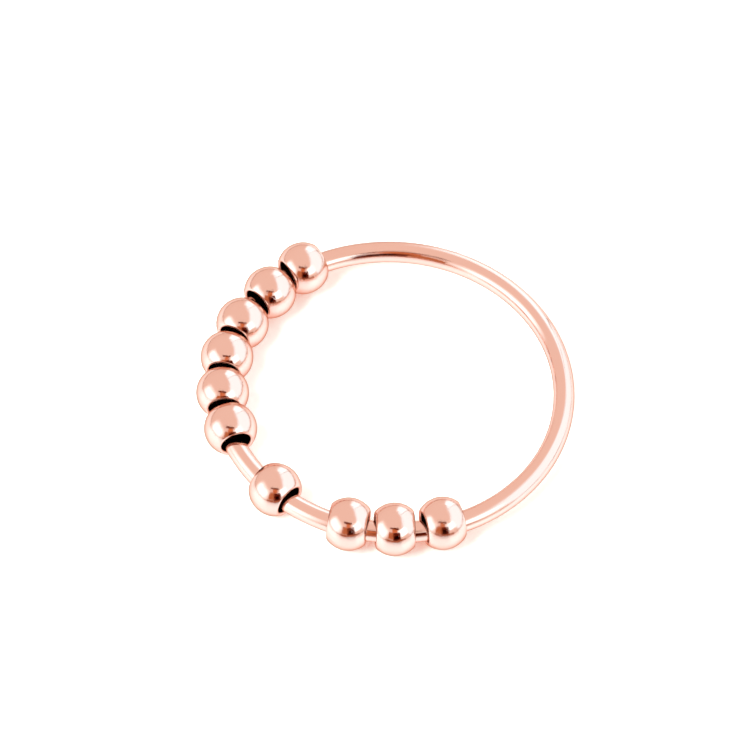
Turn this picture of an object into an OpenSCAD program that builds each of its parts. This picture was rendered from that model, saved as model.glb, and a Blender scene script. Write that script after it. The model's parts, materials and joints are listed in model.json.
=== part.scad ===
// A finger ring of round wire with loose hollow beads threaded on it, lying on its side.
// Millimetres, +Z up. The surface it lies on is z = 0, and the finger hole's axis is the Z axis.
// Angles run round the hole from +X towards +Y.

/* [Wire] */
// Diameter of the finger hole, inside the wire
finger_d = 18.2; // [15:0.1:22]
// Thickness of the round wire
wire_d = 1.2; // [0.9:0.05:1.2]

/* [Beads] */
// Outside diameter of a bead
bead_d = 3; // [2.9:0.05:3.4]
// Length of a bead from mouth to mouth
bead_l = 2.2; // [2:0.05:2.2]
// Thickness of a bead's wall, whose edge is fully rounded at both mouths
bead_wall = 0.25; // [0.15:0.01:0.25]

/* [Rest] */
// Where on the ring the row of beads begins, in degrees
row_start = 124.35; // [90:0.05:150]
// Clearance left where the wire lies in a bead
seat_gap = 0.02; // [0.01:0.005:0.04]
// How far to the side of the wire a bead's mouth may lie
lean = 0.1; // [0:0.01:0.1]

/* [Quality] */
// Facets of a full turn on screen
facets = 96; // [32:8:160]

/* [Hidden] */
$fn = facets;

// One row for each bead, in the order in which they are threaded:
// [gap left before it along the wire, how far it lies in from the wire, how far it is turned in degrees]
BEADS = [
    [0, -0.08, 0],
    [0.14, 0.09, 0],
    [0.31, 0.09, 0],
    [0.09, 0.06, 2],
    [0.07, 0.03, 1],
    [0.08, 0.05, 0],
    [2.46, -0.02, 0],
    [2.29, 0.01, 5],
    [0.17, 0.04, 3],
    [0.31, 0.09, 0],
];
GAP = 0;
INWARD = 1;
TURN = 2;

function bead_name(i) = str("bead_", i < 9 ? "0" : "", i + 1);

// The wire's centre line
wire_r = wire_d / 2;
ring_r = finger_d / 2 + wire_r;

// Half of a bead's section: its wall ends in a half circle, whose centre lies at
// this height along the bead and at this distance from the bead's own axis
bead_r = bead_d / 2;
wall_r = bead_r - bead_wall / 2;
lip_r = bead_wall / 2;
lip_z = bead_l / 2 - lip_r;
lip_x = sqrt(wall_r * wall_r - lip_z * lip_z);
lip_angle = atan2(lip_z, lip_x);
hole_r = lip_x - lip_r;

// The wire bends away from a bead's straight axis by this much at the mouths,
// so a bead sits this far in for its mouths to be centred on the wire
sag = ring_r - sqrt(ring_r * ring_r - lip_z * lip_z);

// The beads stand on the surface. The wire lies level, this far below their
// centres, where it meets the mouth that leans furthest to its side
play = hole_r - wire_r - seat_gap;
sink = sqrt(play * play - lean * lean);
wire_h = bead_r - sink;

// Angle between two neighbours whose mouths touch on the inside of the ring
mouth_r = ring_r - sag - lip_x;
touch_angle = 2 * (asin(lip_r / norm([mouth_r, lip_z])) + atan2(lip_z, mouth_r));

function arc_angle(length) = length / ring_r * 180 / PI;
function bead_angle(i) = i == 0
    ? row_start
    : bead_angle(i - 1) + touch_angle + arc_angle(BEADS[i][GAP]);

// Half section of a bead: its own axis is the Y axis here
module bead_section() {
    wedge = 2 * bead_d;
    intersection() {
        difference() {
            circle(r = bead_r);
            circle(r = bead_r - bead_wall);
        }
        polygon([
            [0, 0],
            wedge * [cos(lip_angle), sin(lip_angle)],
            [wedge, 0],
            wedge * [cos(lip_angle), -sin(lip_angle)],
        ]);
    }
    for (end = [-1, 1])
        translate([lip_x, end * lip_z])
            circle(r = lip_r);
}

module wire_ring() {
    color("#e6a78f")
        translate([0, 0, wire_h])
            rotate_extrude()
                translate([ring_r, 0])
                    circle(r = wire_r);
}

module bead(i) {
    color("#f0b8a2")
        rotate([0, 0, bead_angle(i)])
            translate([ring_r - sag - BEADS[i][INWARD], 0, bead_r])
                rotate([90, 0, BEADS[i][TURN]])
                    rotate_extrude()
                        bead_section();
}

wire_ring();
for (i = [0 : len(BEADS) - 1])
    bead(i);
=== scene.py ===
# %% [markdown]
# # A beaded finger ring, lying on a white table
#
# The real ring is a closed loop of round wire, polished and plated rose gold, with ten hollow
# beads threaded loosely on it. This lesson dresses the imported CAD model: it measures where the
# model has each piece, makes a smoother wire and smoother beads in the same places, and
# gives them a polished metal that mirrors the lights of a small studio.
#
# The CAD model's faces are too coarse for a mirror finish, where each flat shows as a kink in
# the reflections. So every piece is made again here and stands for its CAD node.

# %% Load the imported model
import json
import math
import bpy
import numpy as np
from mathutils import Matrix, Vector


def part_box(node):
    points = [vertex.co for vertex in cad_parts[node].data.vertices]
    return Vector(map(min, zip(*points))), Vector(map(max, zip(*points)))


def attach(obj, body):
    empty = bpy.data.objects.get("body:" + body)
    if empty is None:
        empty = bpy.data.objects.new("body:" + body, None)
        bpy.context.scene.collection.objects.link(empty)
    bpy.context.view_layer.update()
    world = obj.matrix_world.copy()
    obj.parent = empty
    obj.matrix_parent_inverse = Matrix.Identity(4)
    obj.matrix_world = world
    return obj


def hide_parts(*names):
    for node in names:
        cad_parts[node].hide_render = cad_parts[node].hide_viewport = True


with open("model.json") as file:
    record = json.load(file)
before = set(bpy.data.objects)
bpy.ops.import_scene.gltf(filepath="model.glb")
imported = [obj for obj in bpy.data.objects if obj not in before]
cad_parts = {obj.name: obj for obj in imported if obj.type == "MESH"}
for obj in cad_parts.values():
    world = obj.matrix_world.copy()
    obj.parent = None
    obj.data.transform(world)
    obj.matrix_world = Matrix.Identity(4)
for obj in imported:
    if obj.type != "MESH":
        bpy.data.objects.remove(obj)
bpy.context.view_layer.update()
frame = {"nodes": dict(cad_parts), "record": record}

# One millimetre, in Blender's metres
MM = 0.001

# %% [markdown]
# ## The camera
#
# The photograph looks down on the ring from 55 degrees above the table, from far away: its
# near and far beads are the same size. So the lens is long and the camera stands 35 cm off.
# The camera also leans by three degrees, as a hand-held one does. It is placed by its own
# three directions, right, up and back, and then moved a little sideways along the first two,
# so that the ring comes where the photograph has it without any lens shift. The Standard
# view shows colours as they are, without the softer whites of Blender's usual view.

# %% Camera
CAMERA_ELEVATION = math.radians(54.73)
CAMERA_LEAN = math.radians(3.15)
CAMERA_DISTANCE = 350 * MM
SENSOR_WIDTH = 36
IMAGE_WIDTH = 750
PIXELS_PER_MM = 17.628
PIXELS_RIGHT = 16.8
PIXELS_DOWN = 28.1
NEAREST_SEEN = 0.01
FURTHEST_SEEN = 10

camera_back = Vector((0, -math.cos(CAMERA_ELEVATION), math.sin(CAMERA_ELEVATION)))
level_right = Vector((1, 0, 0))
level_up = camera_back.cross(level_right)
camera_right = math.cos(CAMERA_LEAN) * level_right + math.sin(CAMERA_LEAN) * level_up
camera_up = camera_back.cross(camera_right)

camera_data = bpy.data.cameras.new("camera")
camera_data.sensor_width = SENSOR_WIDTH
camera_data.lens = SENSOR_WIDTH * PIXELS_PER_MM * (CAMERA_DISTANCE / MM) / IMAGE_WIDTH
camera_data.clip_start = NEAREST_SEEN
camera_data.clip_end = FURTHEST_SEEN
camera = bpy.data.objects.new("camera", camera_data)
bpy.context.scene.collection.objects.link(camera)
camera.matrix_world = Matrix((camera_right, camera_up, camera_back)).transposed().to_4x4()
camera.location = (
    camera_back * CAMERA_DISTANCE
    - camera_right * (PIXELS_RIGHT / PIXELS_PER_MM * MM)
    + camera_up * (PIXELS_DOWN / PIXELS_PER_MM * MM)
)
bpy.context.scene.camera = camera
bpy.context.scene.view_settings.view_transform = "Standard"
print("Lens in mm:", round(camera_data.lens, 1))

# %% [markdown]
# ## Where the pieces are
#
# The wire's node is a torus and each bead's node is a ball with a bore, so the middle of a
# node's box is the piece's own centre. A bead's corners also tell how it is turned: the bore
# is one of the three principal directions in which they spread, and of those three it is the
# one that lies closest to the wire's own direction at that place.

# %% Measure the ring and the beads
hole = next(mount for mount in frame["record"]["mounts"] if mount["name"] == "finger_hole")
ring_axis = Vector(hole["axis"]).normalized()
wire_low, wire_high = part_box("wire_ring")
ring_centre = (wire_low + wire_high) / 2
BEAD_NAMES = [f"bead_{number:02d}" for number in range(1, 11)]


def bore_place(name):
    """A bead's centre, and the direction of its bore."""
    low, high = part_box(name)
    centre = (low + high) / 2
    corners = np.array([corner.co for corner in frame["nodes"][name].data.vertices])
    spread = np.cov((corners - corners.mean(0)).T)
    directions = [Vector(column) for column in np.linalg.eigh(spread)[1].T]
    along_wire = ring_axis.cross(centre - ring_centre).normalized()
    bore = max(directions, key=lambda direction: abs(direction.dot(along_wire)))
    return centre, bore * math.copysign(1, bore.dot(along_wire))


bead_places = {name: bore_place(name) for name in BEAD_NAMES}
for name, (centre, bore) in bead_places.items():
    turned = math.degrees(bore.angle(ring_axis.cross(centre - ring_centre)))
    print(name, "centre in mm", [round(x / MM, 2) for x in centre], "turned", round(turned, 1))

# %% [markdown]
# ## Small helpers for modelling
#
# Every step acts on what is selected, and loading the model leaves its nodes selected. So
# each piece begins by deselecting everything, and each one ends at the origin, unturned and
# unscaled, with its place in its mesh.

# %% Modelling helpers
def start_piece():
    """Deselects everything, so that the next step acts on one piece alone."""
    bpy.ops.object.select_all(action="DESELECT")


def name_piece(name):
    """Names the active object and its mesh."""
    piece = bpy.context.object
    piece.name = name
    piece.data.name = name
    return piece


def settle(piece):
    """Moves the object's own place into its mesh."""
    start_piece()
    piece.select_set(True)
    bpy.context.view_layer.objects.active = piece
    bpy.ops.object.transform_apply(location=True, rotation=True, scale=True)


def triangles(piece):
    """How many triangles the piece's mesh has."""
    return sum(len(face.vertices) - 2 for face in piece.data.polygons)


# %% [markdown]
# ## The wire
#
# The real wire is drawn round, cut, bent round a mandrel and closed with a solder joint that
# doesn't show. In Blender a round section is carried once round an axis, which is the Spin
# operator. A torus primitive would give the same shape in one step, but with a section added
# by itself the number of steps along the wire and round it are free to choose.
#
# The section stands upright at the ring's radius, and Spin turns it round the vertical axis.
# The last section falls on the first. Spin joins the two by itself, and merging by distance
# makes sure of it. Then the normals are recalculated so that they face outward.

# %% Model the wire
WIRE_THICKNESS = 1.2 * MM
FINGER_HOLE = 18.2 * MM
WIRE_SIDES = 48
WIRE_STEPS = 384
MERGE_DISTANCE = 0.002 * MM
ring_radius = (FINGER_HOLE + WIRE_THICKNESS) / 2

start_piece()
bpy.ops.mesh.primitive_circle_add(
    vertices=WIRE_SIDES,
    radius=WIRE_THICKNESS / 2,
    location=(ring_radius, 0, 0),
    rotation=(math.pi / 2, 0, 0),
)
wire = name_piece("wire_polished")
settle(wire)
bpy.ops.object.mode_set(mode="EDIT")
bpy.ops.mesh.select_all(action="SELECT")
bpy.ops.mesh.spin(steps=WIRE_STEPS, angle=2 * math.pi, center=(0, 0, 0), axis=(0, 0, 1))
bpy.ops.mesh.select_all(action="SELECT")
bpy.ops.mesh.remove_doubles(threshold=MERGE_DISTANCE)
bpy.ops.mesh.normals_make_consistent(inside=False)
bpy.ops.object.mode_set(mode="OBJECT")
print("Wire:", triangles(wire), "triangles")

# %% [markdown]
# ## Marks that belong to a piece
#
# Polishing lines run along the wire and round a bead, whichever way the piece lies. So each
# piece remembers, before it is laid in its place, where every corner is on the piece itself.
# That memory is a vector attribute on the mesh, which the materials read later.

# %% Remember where each corner is on the piece itself
OWN_PLACE = "own_place"


def remember_own_place(piece, shift=(0, 0, 0)):
    """Keeps each corner's present place on the mesh, moved by shift, in millimetres."""
    memory = piece.data.attributes.new(OWN_PLACE, "FLOAT_VECTOR", "POINT")
    for corner, kept in zip(piece.data.vertices, memory.data):
        kept.vector = corner.co / MM + Vector(shift)
    print(piece.name, "remembers", len(memory.data), "places")


remember_own_place(wire)

# %% [markdown]
# ## The wire in its place
#
# The loop was made round the origin. It is moved to the middle of the CAD wire's box, with its
# axis along the finger hole's, and smooth shading hides the edges between its faces.

# %% Put the wire in its place
upright = ring_axis.to_track_quat("Z", "Y").to_matrix().to_4x4()
wire.matrix_world = Matrix.Translation(ring_centre) @ upright
settle(wire)
bpy.ops.object.shade_smooth()
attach(wire, "wire")
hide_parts("wire_ring")
print("The wire's middle in mm:", [round(x / MM, 3) for x in ring_centre])

# %% [markdown]
# ## One bead
#
# A real bead of this kind is a short piece of tube swaged into a ball, so its wall is equally
# thick everywhere and its two mouths have a rounded edge. The same order works here. First
# comes a sphere that lies in the middle of the wall, and Bisect cuts it flat at both ends.
# The height of the cut is chosen so that the finished bead, with its wall and its rounded
# rims, comes out 2.2 mm long.

# %% Cut a sphere flat at both ends
BEAD_THICKNESS = 3 * MM
BEAD_LENGTH = 2.2 * MM
BEAD_WALL = 0.25 * MM
BEAD_SIDES = 96
BEAD_ROWS = 64
CUT_HEIGHT = 1.0605 * MM
# A corner as close as this to the cutting plane counts as lying on it.
ON_THE_CUT = MERGE_DISTANCE / 10

start_piece()
bpy.ops.mesh.primitive_uv_sphere_add(
    segments=BEAD_SIDES,
    ring_count=BEAD_ROWS,
    radius=(BEAD_THICKNESS - BEAD_WALL) / 2,
)
first_bead = name_piece("bead_pattern")
bpy.ops.object.mode_set(mode="EDIT")
for end in (1, -1):
    bpy.ops.mesh.select_all(action="SELECT")
    bpy.ops.mesh.bisect(
        plane_co=(0, 0, end * CUT_HEIGHT),
        plane_no=(0, 0, end),
        clear_outer=True,
        threshold=ON_THE_CUT,
    )
bpy.ops.object.mode_set(mode="OBJECT")
print("Cut ball:", triangles(first_bead), "triangles")

# %% [markdown]
# ## Room for the bevel
#
# A bevel that is wider than the faces beside it would fold them over. So the two rings of
# edges next to each mouth are dissolved, which leaves one face wide enough for it. An edge of
# a ring is level: both its ends are equally high.

# %% Dissolve the rings of edges next to the mouths
# Rings of edges that are further than this from the bead's middle are dissolved.
CLEAR_FROM = 0.94 * MM


def select_edges(piece, wanted):
    """Selects the edges that wanted says yes to, and no others. Ends in edit mode."""
    bpy.ops.object.mode_set(mode="EDIT")
    bpy.ops.mesh.select_mode(type="EDGE")
    bpy.ops.mesh.select_all(action="DESELECT")
    bpy.ops.object.mode_set(mode="OBJECT")
    for edge in piece.data.edges:
        edge.select = wanted(edge)
    chosen = sum(edge.select for edge in piece.data.edges)
    bpy.ops.object.mode_set(mode="EDIT")
    return chosen


def is_near_a_mouth(edge):
    """Whether the edge is level and lies between the last kept ring and the mouth."""
    first, second = (abs(first_bead.data.vertices[index].co.z) for index in edge.vertices)
    level = abs(first - second) < MERGE_DISTANCE
    return level and CLEAR_FROM < first < CUT_HEIGHT - MERGE_DISTANCE


print("Edges dissolved:", select_edges(first_bead, is_near_a_mouth))
bpy.ops.mesh.dissolve_edges(use_verts=True)
bpy.ops.object.mode_set(mode="OBJECT")

# %% [markdown]
# ## The wall and its rounded rims
#
# Solidify gives the sphere its wall, half of it to each side. That leaves two sharp edges at
# each mouth, where the cut meets the outer and the inner face. Both are bevelled by almost
# half the wall, so that together they round the rim into a half circle.

# %% Give the bead its wall
wall = first_bead.modifiers.new("wall", "SOLIDIFY")
wall.thickness = BEAD_WALL
wall.offset = 0
bpy.ops.object.modifier_apply(modifier=wall.name)
print("With its wall:", triangles(first_bead), "triangles")

# %% Round the rims of both mouths
SHARP_EDGE = math.radians(50)
BEVEL_SHARE = 0.497
RIM_SEGMENTS = 8
ROUND_PROFILE = 0.5

bpy.ops.object.mode_set(mode="EDIT")
bpy.ops.mesh.select_all(action="DESELECT")
bpy.ops.mesh.edges_select_sharp(sharpness=SHARP_EDGE)
bpy.ops.mesh.bevel(
    offset=BEAD_WALL * BEVEL_SHARE,
    segments=RIM_SEGMENTS,
    profile=ROUND_PROFILE,
    clamp_overlap=False,
)
bpy.ops.object.mode_set(mode="OBJECT")
bpy.ops.object.shade_smooth()

heights = [corner.co.z for corner in first_bead.data.vertices]
reaches = [corner.co.xy.length for corner in first_bead.data.vertices]
print("Bead length in mm:", round((max(heights) - min(heights)) / MM, 3), "of", BEAD_LENGTH / MM)
print("Bead thickness:", round(2 * max(reaches) / MM, 3), "hole:", round(2 * min(reaches) / MM, 3))
print("Bead:", triangles(first_bead), "triangles")

# %% [markdown]
# ## The inside of a bead
#
# Inside the bore the colour is painted nearly black, as painted shade, and the metal there is
# rougher. Each corner of the bead gets a number that says how far inside the bore it is: 0 on the
# ball and on the rim's outer half, 1 on the inner wall. The material blends by it, so the painted
# shade fades in over the rim.

# %% Mark the inner wall
INSIDE = "inside"
FADE_START = 0.55
FADE_LENGTH = 0.35


def mark_inside(piece):
    """Keeps, for each corner, how far it is inside the bore: 0 outside, 1 on the inner wall."""
    memory = piece.data.attributes.new(INSIDE, "FLOAT", "POINT")
    for corner, kept in zip(piece.data.vertices, memory.data):
        depth = (BEAD_THICKNESS / 2 - corner.co.length) / BEAD_WALL
        kept.value = min(max((depth - FADE_START) / FADE_LENGTH, 0), 1)
    dark = sum(kept.value == 1 for kept in memory.data)
    print("Dark corners:", dark, "of", len(memory.data))


mark_inside(first_bead)

# %% [markdown]
# ## Ten beads
#
# The other beads are copies, each with its own mesh, because each piece keeps its place in
# its mesh. A real bead can be turned any way round its bore, so each copy is turned by
# another angle, and its marks are taken from another part of the pattern.

# %% Copy the bead to its ten places
GOLDEN_TURN = math.radians(137.5)
PATTERN_STEP = 7

beads = {}
for number, (name, (centre, bore)) in enumerate(bead_places.items()):
    bead = first_bead.copy()
    bead.data = first_bead.data.copy()
    bead.name = f"{name}_polished"
    bead.data.name = bead.name
    bpy.context.scene.collection.objects.link(bead)
    remember_own_place(bead, shift=(PATTERN_STEP * number, 0, 0))
    outward = (centre - ring_centre).normalized()
    across = bore.cross(outward).normalized()
    outward = across.cross(bore)
    lay = Matrix((outward, across, bore)).transposed().to_4x4()
    turn = Matrix.Rotation(GOLDEN_TURN * number, 4, "Z")
    bead.matrix_world = Matrix.Translation(centre) @ lay @ turn
    settle(bead)
    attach(bead, name)
    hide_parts(name)
    beads[name] = bead
bpy.data.objects.remove(first_bead)
print("Beads:", len(beads))

# %% [markdown]
# ## Writing a material as sums
#
# A material is a graph of nodes. Wiring each by hand is long, so one small class stands for a
# socket and turns +, -, * and / into Math nodes. Anything else is made by one method, add,
# which takes the node's type, its settings and what goes into its sockets.

# %% A socket that can be added and multiplied
class Socket:
    """One output of a node. Sums and products of sockets add the Math nodes they need."""

    def __init__(self, recipe, output):
        self.recipe = recipe
        self.output = output

    def math(self, operation, first, second=0.0, clamp=False):
        """A Math node that does this operation on two numbers or sockets."""
        settings = {"operation": operation, "use_clamp": clamp}
        return self.recipe.add("ShaderNodeMath", settings, {0: first, 1: second})

    def __add__(self, other):
        return self.math("ADD", self, other)

    def __radd__(self, other):
        return self.math("ADD", other, self)

    def __sub__(self, other):
        return self.math("SUBTRACT", self, other)

    def __rsub__(self, other):
        return self.math("SUBTRACT", other, self)

    def __mul__(self, other):
        return self.math("MULTIPLY", self, other)

    def __rmul__(self, other):
        return self.math("MULTIPLY", other, self)

    def __truediv__(self, other):
        return self.math("DIVIDE", self, other)

    def __rtruediv__(self, other):
        return self.math("DIVIDE", other, self)

    def size(self):
        """The same number without its sign."""
        return self.math("ABSOLUTE", self)

    def held(self):
        """The same number, kept between 0 and 1."""
        return self.math("ADD", self, 0.0, clamp=True)


# %% [markdown]
# ## A node tree to fill
#
# The second class stands for the whole tree of a material. Besides add, it has the few steps
# that these finishes share. A Mix node has sockets of the same names for numbers, vectors and
# colours, so its colour sockets are picked by their numbers.

# %% The recipe of a material
MIX_FIRST_COLOUR = 6
MIX_SECOND_COLOUR = 7
MIX_COLOUR = 2


class Recipe:
    """The node tree of one material or of the world, emptied and ready to be filled."""

    def __init__(self, owner):
        owner.use_nodes = True
        self.tree = owner.node_tree
        self.tree.nodes.clear()

    def add(self, kind, settings, sockets, out=0):
        """Adds a node: its settings first, then the value or link of each of its sockets."""
        node = self.tree.nodes.new(kind)
        for name, value in settings.items():
            setattr(node, name, value)
        for name, value in sockets.items():
            if isinstance(value, Socket):
                self.tree.links.new(value.output, node.inputs[name])
            else:
                node.inputs[name].default_value = value
        return Socket(self, node.outputs[out]) if len(node.outputs) else None

    def blend(self, share, first, second):
        """A colour between first and second."""
        sockets = {"Factor": share, MIX_FIRST_COLOUR: first, MIX_SECOND_COLOUR: second}
        return self.add("ShaderNodeMix", {"data_type": "RGBA"}, sockets, out=MIX_COLOUR)

    def mix_shaders(self, share, first, second):
        """A shader between first and second."""
        return self.add("ShaderNodeMixShader", {}, {0: share, 1: first, 2: second})

    def noise(self, place, scale, detail):
        """A number that wanders between 0 and 1 from place to place."""
        sockets = {"Vector": place, "Scale": scale, "Detail": detail}
        return self.add("ShaderNodeTexNoise", {"noise_dimensions": "3D"}, sockets)

    def own_place(self):
        """The place of each point on its own piece, in millimetres."""
        return self.add("ShaderNodeAttribute", {"attribute_name": OWN_PLACE}, {}, out="Vector")

    def part_of(self, vector, letter):
        """One of a vector's three numbers: X, Y or Z."""
        return self.add("ShaderNodeSeparateXYZ", {}, {"Vector": vector}, out=letter)

    def seen_by_camera(self):
        """1 where the camera itself looks, and 0 for all other light, reflections among it."""
        return self.add("ShaderNodeLightPath", {}, {}, out="Is Camera Ray")


# %% [markdown]
# ## Polished rose gold
#
# The plating is a mirror with a warm pink reflection. What makes it look real is what
# polishing leaves: a very slight cloudiness that changes from place to place, and hairlines
# left by the cloth, side by side. The lines are about a thousandth of a millimetre deep, far
# too shallow to model, so they are a bump.
#
# A metal's reflection deepens in colour towards its edge, where it is seen at a slant. That is
# the shader's own edge tint, and it draws the thin darker outline round each bead.

# %% Rose gold
ROSE_GOLD = (0.905, 0.650, 0.555, 1)
ROSE_GOLD_WORN = (0.900, 0.620, 0.520, 1)
EDGE_TINT = (0.62, 0.34, 0.25, 1)


def finish_metal(recipe, colour, roughness, bump_distance, bump_strength, height):
    """The polished metal's shader, wired to the material's output."""
    bump_sockets = {"Strength": bump_strength, "Distance": bump_distance, "Height": height}
    bump = recipe.add("ShaderNodeBump", {}, bump_sockets)
    sockets = {
        "Base Color": colour,
        "Metallic": 1.0,
        "Roughness": roughness,
        "Specular Tint": EDGE_TINT,
        "Normal": bump,
    }
    metal = recipe.add("ShaderNodeBsdfPrincipled", {}, sockets)
    recipe.add("ShaderNodeOutputMaterial", {}, {"Surface": metal})


# %% [markdown]
# ## Hairlines
#
# Noise has a middle value that it passes along winding curves. A band close round that value
# is therefore a set of fine lines, and the narrower the band, the thinner they are. Drawing
# the noise out along one direction makes the curves long and nearly straight, like the marks
# of a polishing cloth.

# %% Fine lines out of noise
NOISE_MIDDLE = 0.5


def thin_lines(noise, thinness):
    """1 where the noise is at its middle, and 0 a little off it."""
    return (1.0 - (noise - NOISE_MIDDLE).size() * thinness).held()


def hairlines(recipe, place, turn, stretch, thinness):
    """Fine long lines: the place is turned, and then the noise has another scale each way."""
    turned = {"Vector": place, "Rotation": turn}
    turned = recipe.add("ShaderNodeMapping", {"vector_type": "POINT"}, turned)
    drawn = {"Vector": turned, "Scale": stretch}
    drawn = recipe.add("ShaderNodeMapping", {"vector_type": "POINT"}, drawn)
    return thin_lines(recipe.noise(drawn, scale=1.0, detail=1.0), thinness)


# %% [markdown]
# ## The beads' finish
#
# A bead tumbles against cloth from all sides, so it has two sets of hairlines that cross, and
# slow patches decide where each set shows. The ball under them is uneven by a few thousandths
# of a millimetre, which bends the outlines of what it mirrors a little, as on the real beads.
# Inside the bore all of this fades into a nearly black colour, which is painted shade, on a
# rougher metal.

# %% Polish the beads
# Painted shade: the bore's inner wall is coloured nearly black.
PAINTED_BORE_SHADE = (0.020, 0.006, 0.003, 1)
CLOUD_SCALE = 0.9
PATCH_SCALE = 0.7
DENT_SCALE = 2.2
BEAD_MIRROR = 0.015
BEAD_CLOUDINESS = 0.03
BEAD_LINE_ROUGHNESS = 0.04
BORE_ROUGHNESS = 0.4
BEAD_BUMP = 0.005 * MM
BEAD_BUMP_STRENGTH = 1.0
BEAD_LINE_DEPTH = 0.24
BEAD_DENT_DEPTH = 2.0

bead_finish = bpy.data.materials.new("rose_gold_bead")
recipe = Recipe(bead_finish)
place = recipe.own_place()
inside = recipe.add("ShaderNodeAttribute", {"attribute_name": INSIDE}, {}, out="Fac")
cloud = recipe.noise(place, CLOUD_SCALE, detail=3.0)
patches = recipe.noise(place, PATCH_SCALE, detail=1.0)
dents = recipe.noise(place, DENT_SCALE, detail=1.0)
cloth_lines = hairlines(recipe, place, turn=(0.3, 0.5, 0.2), stretch=(0.15, 14, 14), thinness=16)
crossing_lines = hairlines(recipe, place, turn=(0.2, 0.1, 0.9), stretch=(10, 0.1, 10), thinness=18)
# The first set shows where the patches are high, and the second where they are low.
high_patches = (patches * 3.0 - 1.0).held()
low_patches = (2.0 - patches * 3.4).held()
lines = cloth_lines * high_patches + crossing_lines * low_patches
plating = recipe.blend(cloud, ROSE_GOLD, ROSE_GOLD_WORN)
colour = recipe.blend(inside, plating, PAINTED_BORE_SHADE)
roughness = (
    BEAD_MIRROR
    + cloud * BEAD_CLOUDINESS
    + lines * BEAD_LINE_ROUGHNESS
    + inside * BORE_ROUGHNESS
)
height = lines * -BEAD_LINE_DEPTH + dents * BEAD_DENT_DEPTH
finish_metal(recipe, colour, roughness, BEAD_BUMP, BEAD_BUMP_STRENGTH, height)
for bead in beads.values():
    bead.data.materials.append(bead_finish)
print("Nodes in the beads' finish:", len(recipe.tree.nodes))

# %% [markdown]
# ## The wire's finish
#
# On the wire the hairlines all run along it, as it is drawn and polished lengthwise. Noise
# read at a point's distance from the ring's middle and at its height stays the same all the
# way round, which makes such lines, and a slow change from side to side lets each one begin
# and end somewhere.

# %% Polish the wire
WIRE_CLOUD_SCALE = 0.6
LINES_PER_MM = 16.0
DRIFT_PER_MM = 0.12
WIRE_LINE_THINNESS = 10.0
WIRE_MIRROR = 0.02
WIRE_CLOUDINESS = 0.03
WIRE_LINE_ROUGHNESS = 0.04
WIRE_BUMP = 0.004 * MM
WIRE_BUMP_STRENGTH = 0.3
WIRE_LINE_DEPTH = 1.0
WIRE_CLOUD_HEIGHT = 0.6

wire_finish = bpy.data.materials.new("rose_gold_wire")
recipe = Recipe(wire_finish)
place = recipe.own_place()
cloud = recipe.noise(place, WIRE_CLOUD_SCALE, detail=3.0)
reach = recipe.add("ShaderNodeVectorMath", {"operation": "LENGTH"}, {0: place}, out="Value")
lengthwise = {
    "X": reach * LINES_PER_MM,
    "Y": recipe.part_of(place, "Z") * LINES_PER_MM,
    "Z": recipe.part_of(place, "X") * DRIFT_PER_MM,
}
lengthwise = recipe.add("ShaderNodeCombineXYZ", {}, lengthwise)
lines = thin_lines(recipe.noise(lengthwise, scale=1.0, detail=2.0), WIRE_LINE_THINNESS)
colour = recipe.blend(cloud, ROSE_GOLD, ROSE_GOLD_WORN)
roughness = WIRE_MIRROR + cloud * WIRE_CLOUDINESS + lines * WIRE_LINE_ROUGHNESS
height = lines * -WIRE_LINE_DEPTH + cloud * WIRE_CLOUD_HEIGHT
finish_metal(recipe, colour, roughness, WIRE_BUMP, WIRE_BUMP_STRENGTH, height)
wire.data.materials.append(wire_finish)
print("Nodes in the wire's finish:", len(recipe.tree.nodes))

# %% [markdown]
# ## The table
#
# The ring lies on a plain white surface that is overexposed: it is pure white except close to the
# metal, where the beads keep the light off it. The pink in that shade is partly light that the
# metal sends down and partly painted, a glow of the table's own. The metal mirrors the table
# darker than it is, so there it isn't overexposed, and a pale pink shows, most of it a pink glow
# of the table's own, which is painted light. So the table has two looks.
#
# The camera gets a white that is brighter than white, with a faint warm glow of its own under it:
# painted shadow colour, which keeps the shadow pink and pale. All other light, such as what the
# metal mirrors, gets a darker white with a stronger pink glow of its own, which is painted light.
# It also has a soft gloss, which grows where it is met at a slant, as on any smooth table: there
# it mirrors the walls and the room behind it.

# %% Table
TABLE_SIZE = 3.0
TABLE_SIDES = 96
MIRRORED_WHITE = (0.22, 0.47, 0.52, 1)
# Painted light: a pink glow of the table's own, which the metal mirrors.
MIRRORED_PINK_GLOW = (1.05, 0.61, 0.56, 1)
PICTURED_WHITE = (0.6, 1.22, 1.13, 1)
# Painted shadow: a red glow of the table's own, which shows only where the beads keep the lamp off
# the table.
PICTURED_SHADOW_GLOW = (0.50, 0.0, 0.0, 1)
SHEEN_WHITE = (1.0, 1.0, 1.0, 1)
SHEEN_ROUGHNESS = 0.2
SHEEN_INDEX = 1.7


def glowing_white(recipe, white, glow):
    """A matt surface with a light of its own."""
    matt = recipe.add("ShaderNodeBsdfDiffuse", {}, {"Color": white})
    light = recipe.add("ShaderNodeEmission", {}, {"Color": glow})
    return recipe.add("ShaderNodeAddShader", {}, {0: matt, 1: light})


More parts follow.
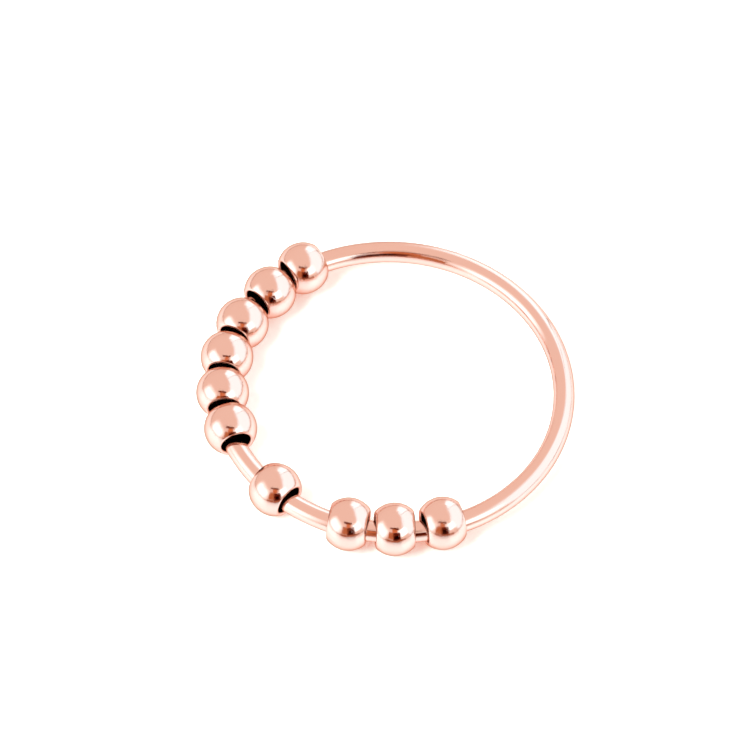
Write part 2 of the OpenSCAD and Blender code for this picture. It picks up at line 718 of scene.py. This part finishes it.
start_piece()
bpy.ops.mesh.primitive_circle_add(
    vertices=TABLE_SIDES,
    radius=TABLE_SIZE / 2,
    fill_type="NGON",
)
table = name_piece("table")
table_finish = bpy.data.materials.new("white_table")
recipe = Recipe(table_finish)
sheen_sockets = {"Color": SHEEN_WHITE, "Roughness": SHEEN_ROUGHNESS}
sheen = recipe.add("ShaderNodeBsdfAnisotropic", {}, sheen_sockets)
slant = recipe.add("ShaderNodeFresnel", {}, {"IOR": SHEEN_INDEX})
mirrored = recipe.mix_shaders(slant, glowing_white(recipe, MIRRORED_WHITE, MIRRORED_PINK_GLOW), sheen)
pictured = glowing_white(recipe, PICTURED_WHITE, PICTURED_SHADOW_GLOW)
surface = recipe.mix_shaders(recipe.seen_by_camera(), mirrored, pictured)
recipe.add("ShaderNodeOutputMaterial", {}, {"Surface": surface})
table.data.materials.append(table_finish)
print("Table:", TABLE_SIZE, "m across")

# %% [markdown]
# ## The lights
#
# A mirror shows what stands round it, so polished metal is lit with large pale surfaces, not
# with points. The beads in the photograph tell where those were: a softbox low on the left,
# with a thin dark frame at its foot, another on the right, and pale walls beyond it on the
# right and at the back, with a thin dark line where they meet. Overhead is a plain warm
# ceiling, which is the room's own colour.
#
# Each one here is a card that faces the ring and fades at its edges, as cloth over a lamp
# does. The camera doesn't see the cards, only the metal and the table do.

# %% A card that shines
def card(name, azimuth, elevation, distance, width, height, colour, strength, fade):
    """A card that faces the ring: azimuth 0 is at the camera's side and 90 at +X, in degrees.

    Distance, width and height are in metres. The fade is equally wide on all four sides, and
    is given as a share of the card's width.
    """
    turn = math.radians(azimuth)
    rise = math.radians(elevation)
    towards = Vector((
        math.sin(turn) * math.cos(rise),
        -math.cos(turn) * math.cos(rise),
        math.sin(rise),
    ))
    start_piece()
    bpy.ops.mesh.primitive_plane_add(
        size=1,
        location=towards * distance,
        rotation=towards.to_track_quat("Z", "Y").to_euler(),
    )
    piece = name_piece(name)
    piece.scale = (width, height, 1)
    settle(piece)
    finish = bpy.data.materials.new(name)
    recipe = Recipe(finish)
    spot = recipe.add("ShaderNodeUVMap", {}, {})
    from_side = 0.5 - (recipe.part_of(spot, "X") - 0.5).size()
    from_end = 0.5 - (recipe.part_of(spot, "Y") - 0.5).size()
    shown = (from_side / fade).held() * (from_end / (fade * width / height)).held()
    glow = recipe.add("ShaderNodeEmission", {}, {"Color": (*colour, 1), "Strength": strength})
    clear = recipe.add("ShaderNodeBsdfTransparent", {}, {})
    mixed = recipe.mix_shaders(shown, clear, glow)
    recipe.add("ShaderNodeOutputMaterial", {}, {"Surface": mixed})
    piece.data.materials.append(finish)
    piece.visible_camera = False


# %% Softboxes and walls
LAMP_WHITE = (0.78, 0.92, 1.0)
WALL_WHITE = (0.75, 0.91, 1.02)
SHADOW_LINE = (0.42, 0.20, 0.13)

# Each row: name, azimuth, elevation, distance, width, height, colour, strength, fade
LIGHT_CARDS = [
    ("softbox_left", -65, 22, 0.42, 0.58, 0.44, LAMP_WHITE, 2.2, 0.27),
    ("softbox_left_rim", -61, 2.5, 0.41, 0.42, 0.008, SHADOW_LINE, 1.0, 0.01),
    ("softbox_right", 46, 34, 0.42, 0.28, 0.27, LAMP_WHITE, 2.4, 0.18),
    ("pale_wall_right", 109, 33, 0.60, 1.30, 0.82, WALL_WHITE, 1.62, 0.11),
    # The wall edge is a painted shadow line where the two walls meet.
    ("wall_edge", 150, 27, 0.59, 0.012, 0.62, SHADOW_LINE, 1.0, 0.3),
    ("pale_wall_back", 163, 20, 0.61, 0.30, 0.46, WALL_WHITE, 1.9, 0.2),
]
for row in LIGHT_CARDS:
    card(*row)
print("Pale surfaces and their edges:", len(LIGHT_CARDS))

# %% [markdown]
# ## The dark opening at the front
#
# Each bead also mirrors the side from which the picture was taken: a dark opening between the
# softboxes, wide at its top and at its foot and narrow between them, and deepest right of its
# middle. It is built up from brown and black cards. Where two of them overlap, the darker one
# stands a little nearer to the ring.

# %% Dark cards
BROWN_BLACK = (0.15, 0.03, 0.01)
COPPER = (0.72, 0.22, 0.09)
RUSSET = (0.55, 0.18, 0.08)
DEEP_BROWN = (0.12, 0.012, 0.003)
BLACK = (0.006, 0.0, 0.0)
RED_BROWN = (0.42, 0.13, 0.06)

# Each row: name, azimuth, elevation, distance, width, height, colour, strength, fade
DARK_CARDS = [
    ("opening_top", -3, 58, 0.300, 0.190, 0.042, BROWN_BLACK, 1.0, 0.01),
    ("opening_neck", 0, 48, 0.305, 0.108, 0.105, COPPER, 1.0, 0.03),
    ("opening_left", -14, 24, 0.300, 0.130, 0.165, RUSSET, 1.0, 0.04),
    ("opening_core", 12, 23, 0.290, 0.165, 0.172, DEEP_BROWN, 1.0, 0.05),
    ("opening_dark", 10, 19, 0.280, 0.085, 0.085, BLACK, 1.0, 0.12),
    ("opening_foot", 8, 3.5, 0.310, 0.50, 0.058, RED_BROWN, 1.0, 0.02),
]
for row in DARK_CARDS:
    card(*row)
print("Dark cards:", len(DARK_CARDS))

# %% [markdown]
# ## The end of the table
#
# The metal shows a thin brown line all round at the height of the horizon, where a table ends and
# the room begins. It is a low wall that stands on the table in a wide circle, and its brown is a
# glow of its own: a painted shadow line.

# %% Edge of the table
EDGE_DISTANCE = 0.57
EDGE_HEIGHT = 0.016

start_piece()
bpy.ops.mesh.primitive_cylinder_add(
    vertices=TABLE_SIDES,
    radius=EDGE_DISTANCE,
    depth=EDGE_HEIGHT,
    end_fill_type="NOTHING",
    location=(0, 0, EDGE_HEIGHT / 2),
)
table_edge = name_piece("table_edge")
settle(table_edge)
edge_finish = bpy.data.materials.new("table_edge")
recipe = Recipe(edge_finish)
# Painted shadow: the low wall glows in the shadow line's brown.
edge_glow = recipe.add("ShaderNodeEmission", {}, {"Color": (*SHADOW_LINE, 1)})
recipe.add("ShaderNodeOutputMaterial", {}, {"Surface": edge_glow})
table_edge.data.materials.append(edge_finish)
table_edge.visible_camera = False
print("Edge of the table:", EDGE_DISTANCE, "m away and", EDGE_HEIGHT / MM, "mm high")

# %% [markdown]
# ## The key light
#
# The table needs light too, from one large soft lamp above the left softbox. It is cooler than
# the warm room, and together they make white. Where a bead keeps the lamp off the table, the
# warm part is left. Polished metal would show the lamp, so reflections leave it out.

# %% Key lamp
KEY_PLACE = (-0.378, -0.193, 0.424)
KEY_SIZE = 0.5
KEY_WATTS = 8.7
KEY_COLOUR = (0.46, 0.92, 1.0)

lamp_data = bpy.data.lights.new("key_lamp", "AREA")
lamp_data.shape = "DISK"
lamp_data.size = KEY_SIZE
lamp_data.energy = KEY_WATTS
lamp_data.color = KEY_COLOUR
lamp = bpy.data.objects.new("key_lamp", lamp_data)
lamp.location = KEY_PLACE
lamp.rotation_euler = (-lamp.location).to_track_quat("-Z", "Y").to_euler()
lamp.visible_camera = False
lamp.visible_glossy = False
bpy.context.scene.collection.objects.link(lamp)
print("Key lamp:", round(lamp.location.length, 2), "m from the ring")

# %% [markdown]
# ## The room
#
# Beyond the cards the room is a plain warm mid tone, which the top of every bead shows. The
# camera sees white there instead, so a low view of the ring has a plain pale ground.

# %% Room
ROOM = (0.965, 0.755, 0.685, 1)
BACKGROUND = (0.93, 0.92, 0.915, 1)

world = bpy.data.worlds.new("room")
bpy.context.scene.world = world
recipe = Recipe(world)
room = recipe.add("ShaderNodeBackground", {}, {"Color": ROOM, "Strength": 1.0})
ground = recipe.add("ShaderNodeBackground", {}, {"Color": BACKGROUND, "Strength": 1.0})
light = recipe.mix_shaders(recipe.seen_by_camera(), room, ground)
recipe.add("ShaderNodeOutputWorld", {}, {"Surface": light})
print("The room's colour:", ROOM[:3])
